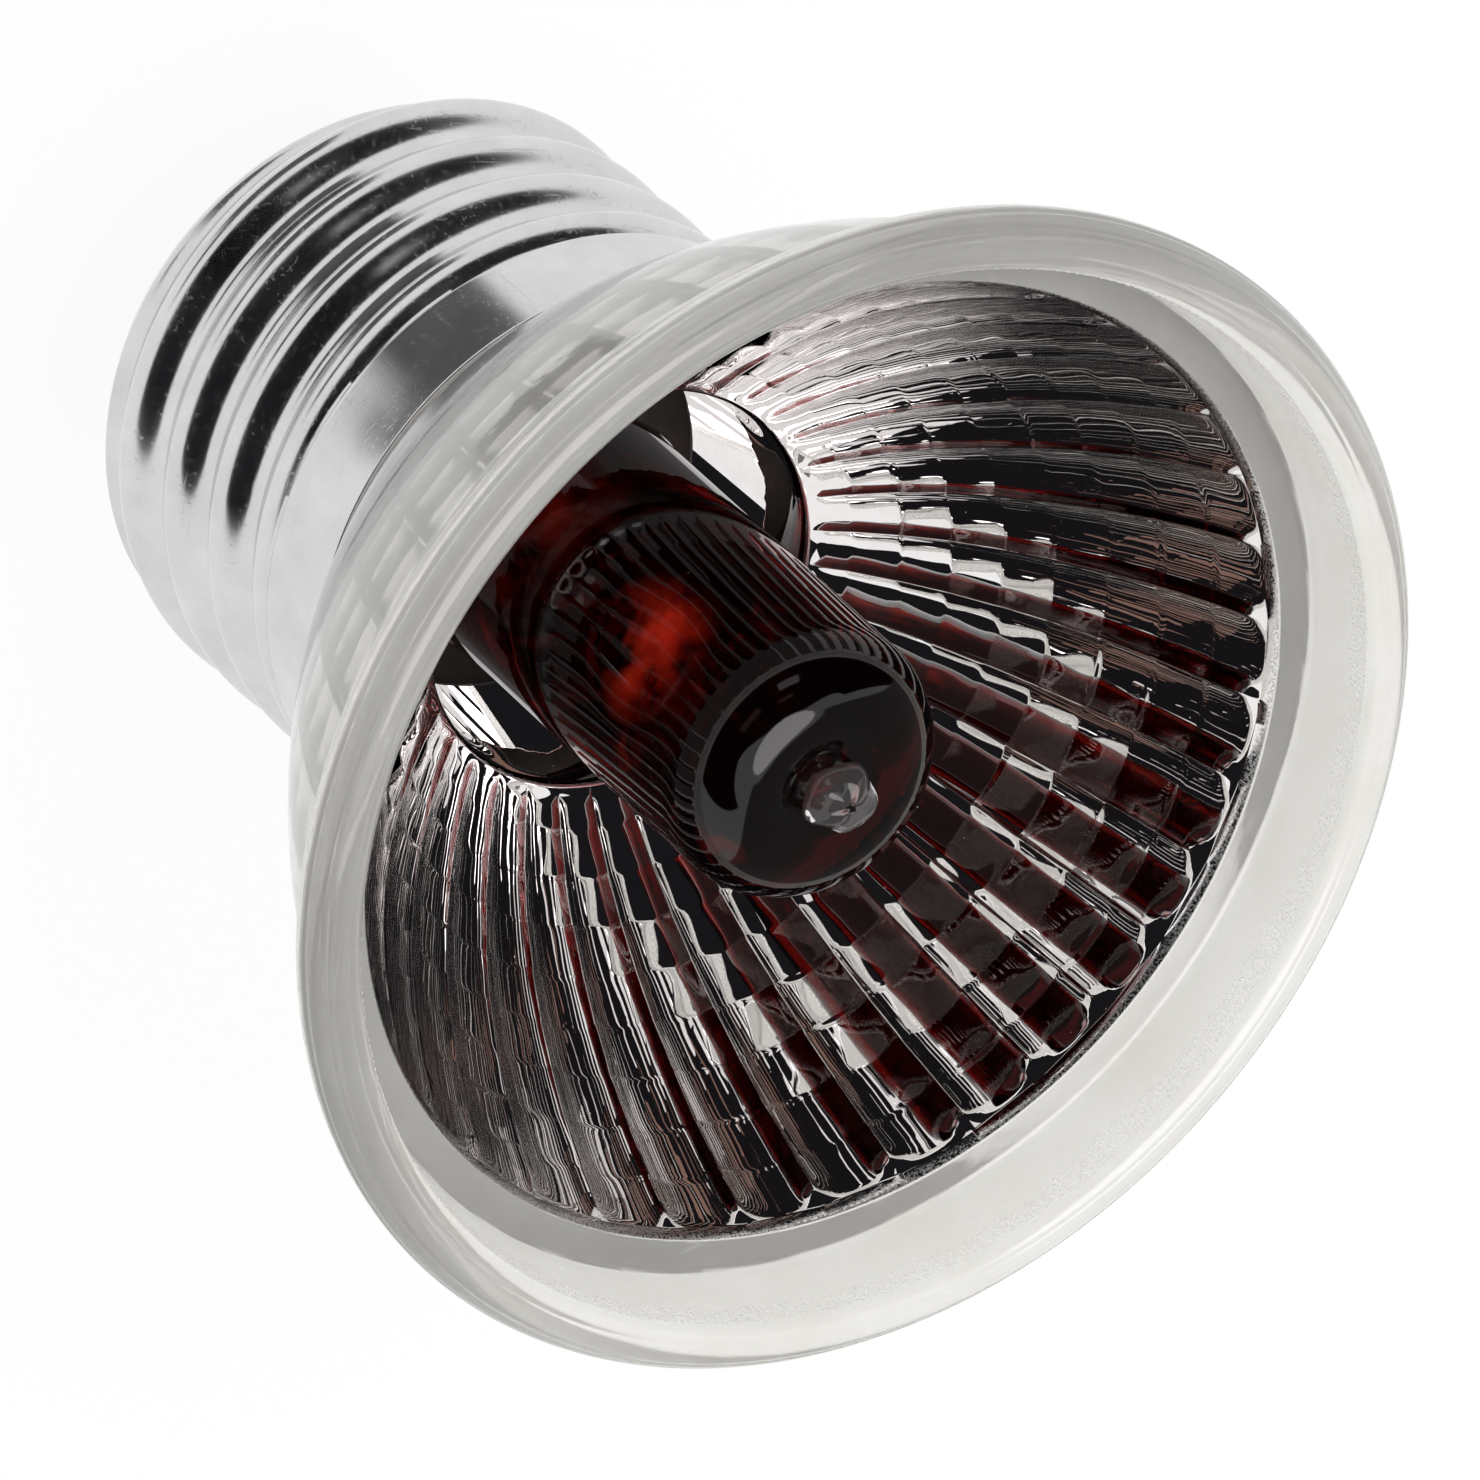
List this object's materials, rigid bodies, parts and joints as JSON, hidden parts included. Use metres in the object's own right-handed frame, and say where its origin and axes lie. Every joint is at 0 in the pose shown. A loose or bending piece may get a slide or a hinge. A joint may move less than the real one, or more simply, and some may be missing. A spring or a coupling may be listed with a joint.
{
  "type": "infrared heat lamp bulb",
  "caption": "Squat reflector heat lamp bulb: fluted mirrored glass bowl, dark ruby halogen capsule in its throat, and a metal E27 screw base.",
  "frame": {"origin": "tip of the centre contact, on the lamp's axis", "axes": "+Z along the lamp's axis, from the contact to the open front of the reflector; X and Y across it"},
  "size_m": [0.0504, 0.0504, 0.0479],
  "materials": {
    "reflector_glass": "clear pressed glass, mirrored inside",
    "ruby_glass": "dark ruby coated glass",
    "shell_metal": "polished",
    "insulator_glass": "black glass",
    "contact_brass": "plain",
    "solder": "dull",
    "cement": "white ceramic cement",
    "tungsten": "dark wire",
    "lead_wire": "copper wire"
  },
  "bodies": {
    "root": {"reflector_bowl": "reflector_glass", "capsule_envelope": "ruby_glass", "screw_shell": "shell_metal", "base_insulator": "insulator_glass", "centre_contact": "contact_brass", "centre_solder": "solder", "base_cement": "cement", "capsule_cement": "cement", "filament_coil": "tungsten", "lead_in_lower": "tungsten", "lead_in_upper": "tungsten", "foil_a": "tungsten", "foil_b": "tungsten", "pin_a": "tungsten", "pin_b": "tungsten", "crimp_a": "contact_brass", "crimp_b": "contact_brass", "centre_wire": "lead_wire", "side_wire": "lead_wire"}
  },
  "joints": []
}
